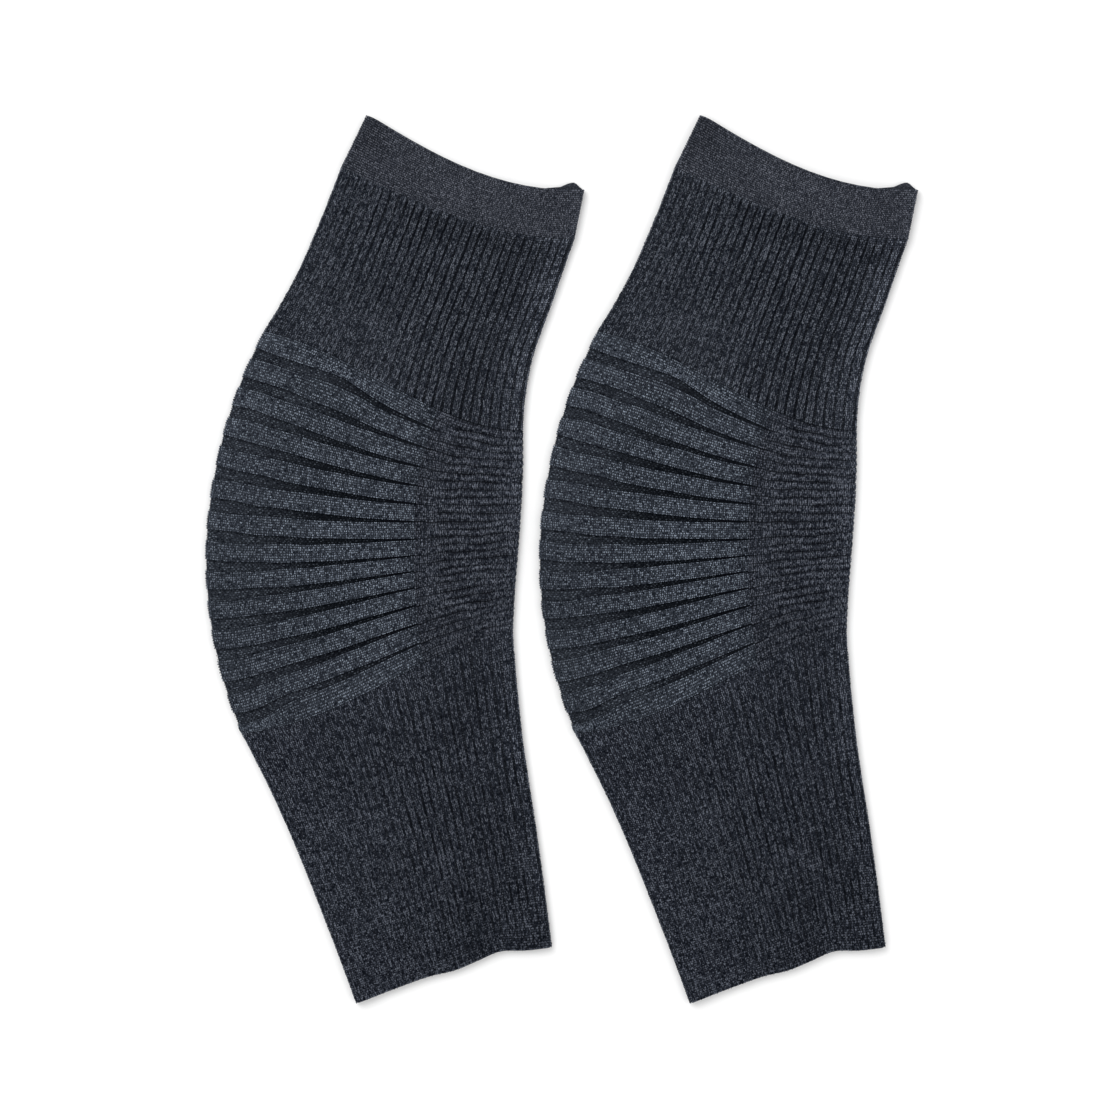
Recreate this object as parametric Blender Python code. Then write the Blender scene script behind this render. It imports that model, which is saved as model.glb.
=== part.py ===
"""A pair of ribbed knee warmers: two knitted tubes, bent at the knee and laid flat side by side.

Each warmer is five pieces of cloth that meet edge to edge: a plain cuff, a ribbed thigh,
the knee's raised bands round the front fold, fine cross ribs round the back fold, and a
ribbed shin. X runs across the pair, Y from the hem towards the thigh and Z up from the table.
"""

import math
from collections import namedtuple

import bmesh
import bpy
import numpy as np

MM = 0.001              # the sizes below are millimetres, and the meshes are metres

# The cloth
RIB_WALL = 1.6
CUFF_WALL = 2.3
LAYER_GAP = 0.4         # between the two layers, away from the folds
FOLD_GAP = 1.4          # between them at a fold, where the cloth bends round
FOLD_REACH = 13.0       # how far in from a fold the cloth still stands higher
SEAM = 0.4              # gap between two pieces that meet
SHARP_FROM = math.radians(40)

# Relief above the plain wall
THIGH_RISE = 0.9
SHIN_RISE = 0.6
BAND_RISE = 1.3         # where the bands end, beside the deep slits
BAND_RISE_FOLD = 1.0    # at the front fold, where the gaps are wide and shallow
BACK_RISE = 0.55

RIBS = 28               # on one face of the thigh, of the shin and of the knee's back
GROOVE = 0.2            # half a groove's width, as a share of one rib
BANDS = 14              # on the knee
BAND_OPEN = 0.78        # gap beside a band at the front fold, as a share of the band's width
BAND_SHUT = 0.04        # the same where the bands end
BAND_END = 2 / 3        # the bands end two thirds of the way to the back fold

PAIR_OFFSET = 165.3     # from one warmer to the other
PAIR_MIDDLE = 0.4       # puts the middle of the pair's outline at X = 0

# Where a course of the knitting meets the front fold, a third of the way across, the bands'
# end and the back fold, from the middle of the warmer
Course = namedtuple("Course", "front_x front_y third_x third_y end_x end_y back_x back_y")
COURSES = {
    "cuff top":   Course(-14.0, 220.3, 17.6, 202.0, 52.8, 187.5, 93.5, 183.0),
    "cuff base":  Course(-27.0, 194.0, 11.5, 177.0, 49.5, 164.0, 88.5, 158.5),
    "thigh 1":    Course(-37.6, 167.0, 0.0, 149.5, 39.5, 133.5, 77.5, 127.0),
    "thigh 2":    Course(-49.5, 140.0, -11.5, 122.5, 29.5, 103.5, 67.0, 96.0),
    "knee top":   Course(-65.4, 113.0, -22.0, 96.5, 21.0, 74.5, 63.2, 64.0),
    "knee 1":     Course(-84.9, 65.0, -38.0, 52.5, 11.5, 41.0, 63.0, 38.5),
    "knee mid":   Course(-94.0, 12.0, -42.5, 9.0, 9.5, 10.0, 61.5, 13.0),
    "knee 3":     Course(-90.0, -38.0, -41.0, -31.5, 10.0, -19.0, 59.5, -12.0),
    "knee base":  Course(-76.2, -86.0, -30.0, -73.5, 14.0, -51.5, 58.2, -34.5),
    "shin 1":     Course(-55.7, -128.0, -16.0, -117.5, 24.5, -99.0, 62.8, -86.5),
    "shin 2":     Course(-37.0, -173.5, -1.5, -163.0, 35.5, -147.5, 70.5, -139.0),
    "hem":        Course(-19.5, -220.0, 14.8, -207.1, 44.0, -198.2, 77.5, -192.0),
}
ZONES = {
    "cuff": ("cuff top", "cuff base"),
    "thigh": ("cuff base", "thigh 1", "thigh 2", "knee top"),
    "knee": ("knee top", "knee 1", "knee mid", "knee 3", "knee base"),
    "shin": ("knee base", "shin 1", "shin 2", "hem"),
}

# A free edge: how far in from the edge a row lies, and how far both faces are sunk there
Edge = namedtuple("Edge", "inset sink")
CUFF_EDGE = (Edge(0.0, 0.75), Edge(0.4, 0.3), Edge(1.2, 0.0))
HEM_EDGE = (Edge(0.9, 0.0), Edge(0.0, 0.45))

# The cuff's far layer shows past the near one's top edge close to the back fold
NUB_RISE = 3.0
NUB_FROM_FOLD = 6.3
NUB_WIDTH = 4.0

# The hem runs in soft waves: the middle of each as a share of the way across, how far it
# rises towards the thigh, and its width as a share
Wave = namedtuple("Wave", "share rise width")
HEM_WAVES = (Wave(0.51, -1.2, 0.09), Wave(0.75, 2.2, 0.09))
HEM_WAVES_FROM = 0.8    # share of the way down the shin

# How finely the cloth is divided
LINE_STEPS = 48         # along a course, when its length is measured
THIGH_STEPS = 7         # down the thigh
SHIN_STEPS = 7
CUFF_STEPS = 4
CUFF_TOP_STEPS = 14     # across the cuff
UNDER_STEPS = 12        # across the flat underside of a tube
BANDS_FLAT_STEPS = 8    # across the flat of the bands
BACK_FLAT_STEPS = 4     # across the flat of the knee's back
FOLD_ANGLES = (45, 0, -45)

Look = namedtuple("Look", "red green blue roughness")
LOOKS = {
    "cuff": Look(0.040, 0.044, 0.057, 0.92),
    "thigh_rib": Look(0.025, 0.029, 0.038, 0.94),
    "knee_bands": Look(0.047, 0.056, 0.073, 0.90),
    "knee_back": Look(0.031, 0.035, 0.046, 0.94),
    "shin_rib": Look(0.023, 0.027, 0.036, 0.94),
}


def smooth(value):
    """Rises gently from 0 to 1."""
    value = min(max(value, 0.0), 1.0)
    return value * value * (3 - 2 * value)


# ---- Courses: curves across the warmer, from the front fold to the back

def blend_across():
    """Weights that pass a smooth curve through a course's four places, for each step."""
    knots = (0.0, 1 / 3, BAND_END, 1.0)
    weights = np.ones((LINE_STEPS + 1, 4))
    for row, across in enumerate(np.linspace(0, 1, LINE_STEPS + 1)):
        for here in range(4):
            for other in range(4):
                if other != here:
                    weights[row, here] *= (across - knots[other]) / (knots[here] - knots[other])
    return weights


ACROSS = blend_across()


def beyond(first, second, third=None):
    """The course ahead of the first, going on as the next ones do."""
    return 2 * first - second if third is None else 3 * first - 3 * second + third


def course_places(zone, along):
    """The four places of the course at a share of the way down a zone, on smooth curves."""
    rows = [np.array(COURSES[name]).reshape(4, 2) for name in ZONES[zone]]
    rows = [beyond(*rows[:3])] + rows + [beyond(*rows[:-4:-1])]
    spans = len(rows) - 3
    span = min(int(along * spans), spans - 1)
    t = along * spans - span
    before, start, end, after = rows[span:span + 4]
    return 0.5 * (2 * start + (end - before) * t
                  + (2 * before - 5 * start + 4 * end - after) * t * t
                  + (3 * start - before - 3 * end + after) * t ** 3)


class CourseLine:
    """One course, moved down the warmer by shift, with the place at any distance along it."""

    def __init__(self, zone, along, shift=0.0):
        points = ACROSS @ course_places(zone, along)
        upper = min(max(along - 0.005, 0.0), 0.99)
        self.down = ACROSS @ (course_places(zone, upper + 0.01) - course_places(zone, upper))
        self.down /= np.linalg.norm(self.down, axis=1, keepdims=True)
        self.points = points + shift * self.down
        steps = np.linalg.norm(np.diff(self.points, axis=0), axis=1)
        self.distances = np.concatenate(([0.0], np.cumsum(steps)))
        self.length = self.distances[-1]
        self.band_end = self.distances[round(LINE_STEPS * BAND_END)]

    def place(self, distance, reach=0.0):
        """X and Y at a distance from the front fold, reached past the course towards the thigh."""
        points = self.points - reach * self.down
        return [float(np.interp(distance, self.distances, points[:, axis])) for axis in (0, 1)]


# ---- Sections: the cloth along one course, as two layers and the folds between them

# A station is a place round the section: on a fold by its angle, 0 at the fold's tip and 90
# on top, and on a flat by its share of the way from the front to the back
Station = namedtuple("Station", "where value")


class Section:
    """The section of cloth on a course, whole or only from start to end along its flats."""

    def __init__(self, line, wall, rise, start=None, end=None):
        self.line = line
        self.wall = wall
        self.rise = rise            # the folds stand in by this, so that relief meets the outline
        self.radius = wall + FOLD_GAP / 2
        self.width = line.length - 2 * rise
        self.start = self.radius if start is None else start - rise
        self.end = self.width - self.radius if end is None else end - rise

    def top(self, distance):
        """Height of the plain wall's top, which falls away from the folds."""
        from_fold = min(distance, self.width - distance) - self.radius
        return 2 * self.radius - (FOLD_GAP - LAYER_GAP) * smooth(from_fold / FOLD_REACH)

    def over(self, share):
        """The station at a share of the cloth over the top, from fold tip to fold tip."""
        quarter = self.radius * math.pi / 2
        cloth = self.width - 2 * self.radius + 2 * quarter
        distance = share * cloth
        if distance < quarter:
            return Station("front", math.degrees(distance / self.radius))
        if distance > cloth - quarter:
            return Station("back", math.degrees((cloth - distance) / self.radius))
        return Station("top", (distance - quarter) / (cloth - 2 * quarter))

    def point(self, station, lift, reach=0.0):
        """A point of the cloth, moved out from the plain wall by lift."""
        if station.where in ("front", "back"):
            angle = math.radians(station.value)
            distance = self.radius * (1 - math.cos(angle))
            out = -math.cos(angle)
            if station.where == "back":
                distance, out = self.width - distance, -out
            height, up = self.radius * (1 + math.sin(angle)), math.sin(angle)
        else:
            distance = self.start + station.value * (self.end - self.start)
            out = 0.0
            height, up = (self.top(distance), 1.0) if station.where == "top" else (0.0, -1.0)
        x, y = self.line.place(self.rise + distance + lift * out, reach)
        return (x, y, height + lift * up)


def relief_share(station):
    """Relief is whole on top and round to a fold's tip, and dies away below it."""
    if station.where == "under":
        return 0.0
    return 1.0 if station.where == "top" else smooth(1 + station.value / 75)


# ---- Faces between rows of points

class Cloth:
    """Collects one piece's points and faces."""

    def __init__(self):
        self.points = []
        self.faces = []

    def row(self, points):
        first = len(self.points)
        self.points.extend(points)
        return list(range(first, len(self.points)))

    def quads(self, grid, closed=False):
        for row, following in zip(grid, grid[1:]):
            for here in range(len(row) if closed else len(row) - 1):
                ahead = (here + 1) % len(row)
                self.faces.append((row[here], row[ahead], following[ahead], following[here]))

    def join(self, fine, coarse, picks, closed=False):
        """One face for each step of the coarse row, whose points lie at the fine row's picks."""
        for here in range(len(coarse) if closed else len(coarse) - 1):
            ahead = (here + 1) % len(coarse)
            stop = picks[ahead] if picks[ahead] > picks[here] else picks[ahead] + len(fine)
            between = [fine[index % len(fine)] for index in range(picks[here], stop + 1)]
            self.faces.append(tuple(between + [coarse[ahead], coarse[here]]))

    def mesh(self, name):
        mesh = bpy.data.meshes.new(name)
        mesh.from_pydata([[value * MM for value in point] for point in self.points],
                         [], self.faces)
        shape = bmesh.new()
        shape.from_mesh(mesh)
        bmesh.ops.recalc_face_normals(shape, faces=shape.faces)
        shape.to_mesh(mesh)
        shape.free()
        mesh.shade_smooth()
        mesh.set_sharp_from_angle(angle=SHARP_FROM)
        return mesh


# ---- Tubes: the cuff, the thigh and the shin

# A row of a tube: its section, its share of the way down and how far its faces are sunk
TubeRow = namedtuple("TubeRow", "section along sink")


def even(row, station):
    """The course runs where its line says."""
    return 0.0


def tube(rows, stations_of, picks, relief, reach=even):
    """Close a wall right round. The inner face has only the picked stations."""
    cloth = Cloth()
    outer, inner = [], []
    for row in rows:
        stations = stations_of(row.section)
        reaches = [reach(row, station) for station in stations]
        outer.append(cloth.row([
            row.section.point(station, relief(row, station, index) - row.sink, reaches[index])
            for index, station in enumerate(stations)]))
        inner.append(cloth.row([
            row.section.point(stations[index], row.sink - row.section.wall, reaches[index])
            for index in picks]))
    cloth.quads(outer, closed=True)
    cloth.quads(inner, closed=True)
    cloth.join(outer[0], inner[0], picks, closed=True)
    cloth.join(outer[-1], inner[-1], picks, closed=True)
    return cloth


def tube_rows(zone, wall, rise, steps, top_edge=(), base_edge=()):
    """Rows down a zone. An end without a free edge stops short for the seam."""
    ends = {0: SEAM / 2, steps: -SEAM / 2}
    rows = [TubeRow(Section(CourseLine(zone, 0.0, place.inset), wall, rise), 0.0, place.sink)
            for place in top_edge]
    for step in range(1 if top_edge else 0, steps if base_edge else steps + 1):
        line = CourseLine(zone, step / steps, ends.get(step, 0.0))
        rows.append(TubeRow(Section(line, wall, rise), step / steps, 0.0))
    rows += [TubeRow(Section(CourseLine(zone, 1.0, -place.inset), wall, rise), 1.0, place.sink)
             for place in base_edge]
    return rows


def ribbed_stations(section):
    """A rib's crest at each fold's tip, three points for each groove, and the underside."""
    shares = [0.0]
    for groove in range(RIBS):
        middle = (groove + 0.5) / RIBS
        shares += [middle - GROOVE / RIBS, middle, middle + GROOVE / RIBS]
    shares.append(1.0)
    over = [section.over(share) for share in shares]
    under = [Station("under", 1 - step / UNDER_STEPS) for step in range(1, UNDER_STEPS)]
    return (over + [Station("back", -40), Station("back", -90)] + under
            + [Station("front", -90), Station("front", -40)])


def ribbed_picks():
    """The inner face's points lie at the folds, below every second groove and on the underside."""
    grooves = [0, 1] + list(range(3, RIBS - 2, 2)) + [RIBS - 2, RIBS - 1]
    last_over = 3 * RIBS + 1
    first_under = last_over + 2
    over = [0] + [3 * groove + 2 for groove in grooves] + [last_over]
    return over + list(range(first_under, first_under + UNDER_STEPS + 1))


def ribbed_tube(rows, rise, strength, reach=even):
    """A tube with ribs down its length, as high as strength says at each place."""
    last_over = 3 * RIBS + 1

    def relief(row, station, index):
        if index < last_over and index % 3 == 2:
            return 0.0
        across = min(index / last_over, 1.0)
        return rise * strength(row.along, across) * relief_share(station)

    return tube(rows, ribbed_stations, ribbed_picks(), relief, reach)


def thigh_rib():
    def strength(along, across):
        """The ribs are stretched flatter just above the knee, in front of the middle."""
        return 1 - 0.4 * smooth((along - 0.5) / 0.5) * smooth(1 - abs(across - 0.35) / 0.35)

    rows = tube_rows("thigh", RIB_WALL, THIGH_RISE, THIGH_STEPS)
    return ribbed_tube(rows, THIGH_RISE, strength)


def shin_rib():
    def strength(along, across):
        """The ribs are fainter below the knee, near the front fold and at the hem."""
        below_knee = 0.25 * smooth(1 - along / 0.35)
        in_front = 0.3 * smooth(1 - across / 0.35)
        at_hem = 0.15 * smooth((along - 0.8) / 0.2)
        return 1 - below_knee - in_front - at_hem

    rows = tube_rows("shin", RIB_WALL, SHIN_RISE, SHIN_STEPS, base_edge=HEM_EDGE)
    return ribbed_tube(rows, SHIN_RISE, strength, hem_waves)


def hem_waves(row, station):
    """How far the hem rises here, in both layers alike."""
    section = row.section
    if station.where in ("front", "back"):
        share = 0.0 if station.where == "front" else 1.0
    else:
        share = (section.start + station.value * (section.end - section.start)) / section.width
    near_hem = smooth((row.along - HEM_WAVES_FROM) / (1 - HEM_WAVES_FROM))
    return near_hem * sum(wave.rise * math.exp(-((share - wave.share) / wave.width) ** 2)
                          for wave in HEM_WAVES)


def nub(row, station):
    """How far the far layer's top edge reaches past the near one."""
    section = row.section
    if row.along > 0:
        return 0.0
    if station.where == "under":
        from_fold = (1 - station.value) * (section.end - section.start) + section.radius
        turn = 1.0
    elif station.where == "back" and station.value < 0:
        from_fold = section.radius
        turn = -station.value / 90
    else:
        return 0.0
    return NUB_RISE * turn * math.exp(-((from_fold - NUB_FROM_FOLD) / NUB_WIDTH) ** 2)


def cuff():
    """A plain doubled band with a rounded top edge."""
    front = [Station("front", 0), Station("front", 45)]
    top = [Station("top", step / CUFF_TOP_STEPS) for step in range(CUFF_TOP_STEPS + 1)]
    back = [Station("back", angle) for angle in (45, 0, -45, -90)]
    near_nub = [Station("under", share) for share in (0.97, 0.94, 0.9, 0.85)]
    under = [Station("under", 1 - step / UNDER_STEPS) for step in range(3, UNDER_STEPS)]
    stations = (front + top + back + near_nub + under
                + [Station("front", -90), Station("front", -45)])
    rows = tube_rows("cuff", CUFF_WALL, 0.0, CUFF_STEPS, top_edge=CUFF_EDGE)
    return tube(rows, lambda section: stations, list(range(len(stations))),
                lambda row, station, index: 0.0, nub)


# ---- Panels of the knee: each wraps one fold, and they meet where the bands end

# A row of a panel: its place down the knee at a share of the way across, and its height
PanelRow = namedtuple("PanelRow", "along lift")


def panel(side, rows, coarse, rise, flat_steps):
    """Close a wall round one fold. Its ribs' rows are outside on top, and coarse ones elsewhere.

    The stations run from the seam over the top, round the fold and back to the seam below.
    """
    shares = [step / flat_steps for step in range(flat_steps + 1)]
    if side == "front":
        shares.reverse()
    fine_stations = ([Station("top", share) for share in shares]
                     + [Station(side, angle) for angle in FOLD_ANGLES + (-90,)])
    under_stations = [Station("under", share) for share in reversed(shares[:-1])]
    stations = fine_stations + under_stations
    picks = [index for index, station in enumerate(stations)
             if station.where != side or station.value in (0, -90)]

    def across(station):
        if station.where == side:
            return 0.0 if side == "front" else 1.0
        return BAND_END * station.value if side == "front" else 1 - (1 - BAND_END) * (1 - station.value)

    def point(row, station, lift):
        along = row.along(across(station))
        shift = SEAM / 2 if row is rows[0] else -SEAM / 2 if row is rows[-1] else 0.0
        line = CourseLine("knee", along, shift)
        if side == "front":
            section = Section(line, RIB_WALL, rise, end=line.band_end - SEAM / 2)
        else:
            section = Section(line, RIB_WALL, rise, start=line.band_end + SEAM / 2)
        return section.point(station, lift)

    def relief(row, station):
        return row.lift(across(station)) * relief_share(station)

    cloth = Cloth()
    fine = [cloth.row([point(row, station, relief(row, station)) for station in fine_stations])
            for row in rows]
    under = [cloth.row([point(rows[index], station, 0.0) for station in under_stations])
             for index in coarse]
    inner = [cloth.row([point(rows[index], stations[pick], -RIB_WALL) for pick in picks])
             for index in coarse]
    cloth.quads(fine)
    cloth.quads(under)
    cloth.quads(inner)
    cloth.join([row[-1] for row in fine], [row[0] for row in under], coarse)
    cloth.join([row[0] for row in fine], [row[0] for row in inner], coarse)
    cloth.quads([[row[-1] for row in under], [row[-1] for row in inner]])
    cloth.join(fine[0] + under[0], inner[0], picks)
    cloth.join(fine[-1] + under[-1], inner[-1], picks)
    return cloth


def band_row(band, part, height):
    """A line down a band: part of the way over its width, and a share of its height."""
    def along(across):
        opening = BAND_SHUT + (BAND_OPEN - BAND_SHUT) * (1 - across / BAND_END)
        return (band * (1 + opening) + part) / (BANDS + (BANDS - 1) * opening)

    def lift(across):
        return height * (BAND_RISE_FOLD + (BAND_RISE - BAND_RISE_FOLD) * across / BAND_END)

    return PanelRow(along, lift)


def knee_bands():
    """Flat-topped bands that fan open towards the front fold."""
    profile = ((0.0, 0.0), (0.1, 0.85), (0.5, 1.0), (0.9, 0.85), (1.0, 0.0))
    rows = [band_row(band, part, height) for band in range(BANDS) for part, height in profile]
    feet = [len(profile) * band for band in range(1, BANDS)]
    coarse = [0] + feet + [len(rows) - 1]
    return panel("front", rows, coarse, BAND_RISE_FOLD, BANDS_FLAT_STEPS)


def rib_row(place, lift):
    return PanelRow(lambda across: place / RIBS, lambda across: lift)


def knee_back():
    """Fine cross ribs, two to each band."""
    profile = ((0.0, 0.0), (0.3, BACK_RISE), (0.7, BACK_RISE))
    rows = [rib_row(rib + part, lift) for rib in range(RIBS) for part, lift in profile]
    rows.append(rib_row(RIBS, 0.0))
    coarse = list(range(0, len(rows), RIBS // BANDS * len(profile)))
    return panel("back", rows, coarse, BACK_RISE, BACK_FLAT_STEPS)


# ---- The pair

def knit_material(name):
    look = LOOKS[name]
    material = bpy.data.materials.new(name)
    material.use_nodes = True
    shader = material.node_tree.nodes["Principled BSDF"]
    shader.inputs["Base Color"].default_value = (look.red, look.green, look.blue, 1.0)
    shader.inputs["Roughness"].default_value = look.roughness
    shader.inputs["Metallic"].default_value = 0.0
    return material


def build():
    for old in list(bpy.data.objects):
        bpy.data.objects.remove(old, do_unlink=True)
    collection = bpy.data.collections.new("knee_warmers")
    bpy.context.scene.collection.children.link(collection)

    warmers = {}
    for side, place in (("left", -0.5), ("right", 0.5)):
        warmers[side] = bpy.data.objects.new(f"{side}_warmer", None)
        warmers[side].location.x = (place * PAIR_OFFSET + PAIR_MIDDLE) * MM
        collection.objects.link(warmers[side])

    for piece in (cuff, thigh_rib, knee_bands, knee_back, shin_rib):
        mesh = piece().mesh(piece.__name__)
        mesh.materials.append(knit_material(piece.__name__))
        for side, warmer in warmers.items():
            node = bpy.data.objects.new(f"{side}_{piece.__name__}", mesh)
            node.parent = warmer
            collection.objects.link(node)


build()
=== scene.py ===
import math

import bpy
import numpy as np
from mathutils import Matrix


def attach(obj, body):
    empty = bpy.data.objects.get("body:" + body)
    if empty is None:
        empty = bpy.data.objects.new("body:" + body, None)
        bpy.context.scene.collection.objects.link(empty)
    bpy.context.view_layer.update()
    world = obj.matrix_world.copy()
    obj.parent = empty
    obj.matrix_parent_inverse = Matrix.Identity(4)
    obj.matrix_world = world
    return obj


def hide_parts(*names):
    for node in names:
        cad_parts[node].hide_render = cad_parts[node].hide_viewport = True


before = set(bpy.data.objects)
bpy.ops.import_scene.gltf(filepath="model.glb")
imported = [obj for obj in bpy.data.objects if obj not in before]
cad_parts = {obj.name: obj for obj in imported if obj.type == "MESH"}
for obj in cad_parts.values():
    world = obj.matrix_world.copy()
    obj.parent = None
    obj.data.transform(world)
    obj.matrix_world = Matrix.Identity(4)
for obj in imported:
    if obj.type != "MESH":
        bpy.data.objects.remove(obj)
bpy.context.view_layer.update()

print("solids loaded:", len(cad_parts), "nodes")

mm = 0.001    # sizes are millimetres here, and the meshes are metres

cloth = {
    "ribWall": 1.6, "cuffWall": 2.3,
    "layerGap": 0.4,            # between the two layers, away from the folds
    "foldGap": 1.4,             # between them at a fold
    "foldReach": 13.0,          # how far in from a fold the cloth still stands higher
    "reliefTurn": 75,           # degrees below a fold's tip, where the relief has died away
    "wales": 84,                # stitches over the top, from fold to fold
    "walesUnder": 78,           # the same underneath, between the folds' lower ends
    "foldWales": 3,             # from a fold's tip to its lower end
    "ribWales": 3,              # two knit ones side by side on a rib, and one sunk
    "seam": 0.04,               # gap left where one piece of cloth turns into the next
    "sink": 0.28,               # how far the cloth lies below the form that the stitches make
    "shadeBetweenStitches": 0.68,    # painted shade: how much darker the cloth is between raised stitches
    # painted shade: the inside of the cloth is darker, as it lies in shade
    "insideShade": 0.6,
    "pairOffset": 165.3,        # from one warmer to the other
    "pairMiddle": 0.4,          # puts the middle of the pair's outline at X = 0
}

knee = {
    "bands": 14, "ribs": 28,
    "bandEnd": 2 / 3,           # the bands end two thirds of the way to the back fold
    "frontWales": 56,           # of the wales over the top, those in front of that line
    "open": 0.60, "shut": 0.08,  # gap beside a band at the front fold and at its end, in bands
}
lastWale, foldWales, seamWale = cloth["wales"], cloth["foldWales"], knee["frontWales"]
bandsUnder = seamWale - foldWales               # wales of the bands on the underside
backUnder = lastWale - seamWale - foldWales     # and of the knee's back
foldSteps = (0.8, 1.7, foldWales)               # wales past a fold's tip where the cloth has points

# Where a course of the knitting meets the front fold, a third of the way across, the bands'
# end and the back fold, from the middle of the warmer
courses = {
    "cuffTop": ((-14.0, 220.6), (17.7, 202.3), (52.8, 187.9), (93.5, 183.1)),
    "cuffBase": ((-27.0, 194.0), (11.5, 177.0), (49.5, 164.0), (88.5, 158.5)),
    "thigh1": ((-37.6, 167.0), (0.0, 149.5), (39.5, 133.5), (77.5, 127.0)),
    "thigh2": ((-49.5, 140.0), (-11.5, 122.5), (29.5, 103.5), (67.0, 96.0)),
    "kneeTop": ((-65.4, 113.0), (-22.0, 96.5), (21.0, 74.5), (63.2, 64.0)),
    "knee1": ((-84.9, 65.0), (-38.0, 52.5), (11.5, 41.0), (63.0, 38.5)),
    "kneeMid": ((-94.0, 12.0), (-42.5, 9.0), (9.5, 10.0), (61.5, 13.0)),
    "knee3": ((-90.9, -38.2), (-41.0, -31.5), (10.0, -19.0), (59.5, -12.0)),
    "kneeBase": ((-76.5, -86.1), (-30.0, -73.5), (14.0, -51.5), (58.2, -34.5)),
    "shin1": ((-55.7, -128.0), (-16.0, -117.5), (24.5, -99.0), (62.8, -86.5)),
    "shin2": ((-37.0, -173.5), (-1.5, -163.0), (35.5, -147.5), (70.5, -139.0)),
    "hem": ((-19.5, -220.0), (14.8, -207.1), (44.0, -198.2), (77.5, -192.0)),
}
zones = {
    "cuff": ("cuffTop", "cuffBase"),
    "thigh": ("cuffBase", "thigh1", "thigh2", "kneeTop"),
    "knee": ("kneeTop", "knee1", "kneeMid", "knee3", "kneeBase"),
    "shin": ("kneeBase", "shin1", "shin2", "hem"),
}


def smoothRise(value):
    value = np.clip(value, 0.0, 1.0)
    return value * value * (3 - 2 * value)


def fade(value, start, length):
    # 0 up to start, 1 from a length beyond it, and smooth between
    return smoothRise((value - start) / length)


def hump(value, middle, width):
    return np.exp(-((value - middle) / width) ** 2)


def unit(vectors):
    return vectors / np.maximum(np.linalg.norm(vectors, axis=-1, keepdims=True), 1e-9)


def blend(table, row, column, f, g):
    # between four neighbours in a table, at shares f and g of the way to the next
    return ((1 - f) * ((1 - g) * table[row, column] + g * table[row, column + 1])
            + f * ((1 - g) * table[row + 1, column] + g * table[row + 1, column + 1]))


def hills(first, second, seed):
    # gentle random hills from -1 to 1, a cell for each step of one, and the same on every run
    first, second = np.broadcast_arrays(np.asarray(first, float), np.asarray(second, float))
    table = np.random.default_rng(seed).uniform(-1.0, 1.0, (64, 64))
    table = np.pad(table, (0, 1), mode="wrap")
    row, column = np.floor(first).astype(int), np.floor(second).astype(int)
    return blend(table, row % 64, column % 64, smoothRise(first - row), smoothRise(second - column))


def lightAndMottle(settings, down, share, wale):
    # the cloth's own tone is 1: lightAndShade are soft patches of painted light and shade, such as
    # lighter back folds and shade below the cuff (where down and across, how far they reach, how much),
    # and mottle is uneven dye (how often down, wales wide, how much)
    return (1 + sum(amount * hump(down, place, long) * hump(share, across, wide)
                    for place, across, long, wide, amount in settings["lightAndShade"])
            + sum(amount * hills(down * often, wale / wide, seed)
                  for often, wide, amount, seed in settings["mottle"]))


# The flattened tube in one zone, which gives the place of any stitch on it

tableSteps = 100                # in the tables of each form, over its length and its width
morePast = (5, 4, 3)            # steps past each end: down, across, and in shares of the width


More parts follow.
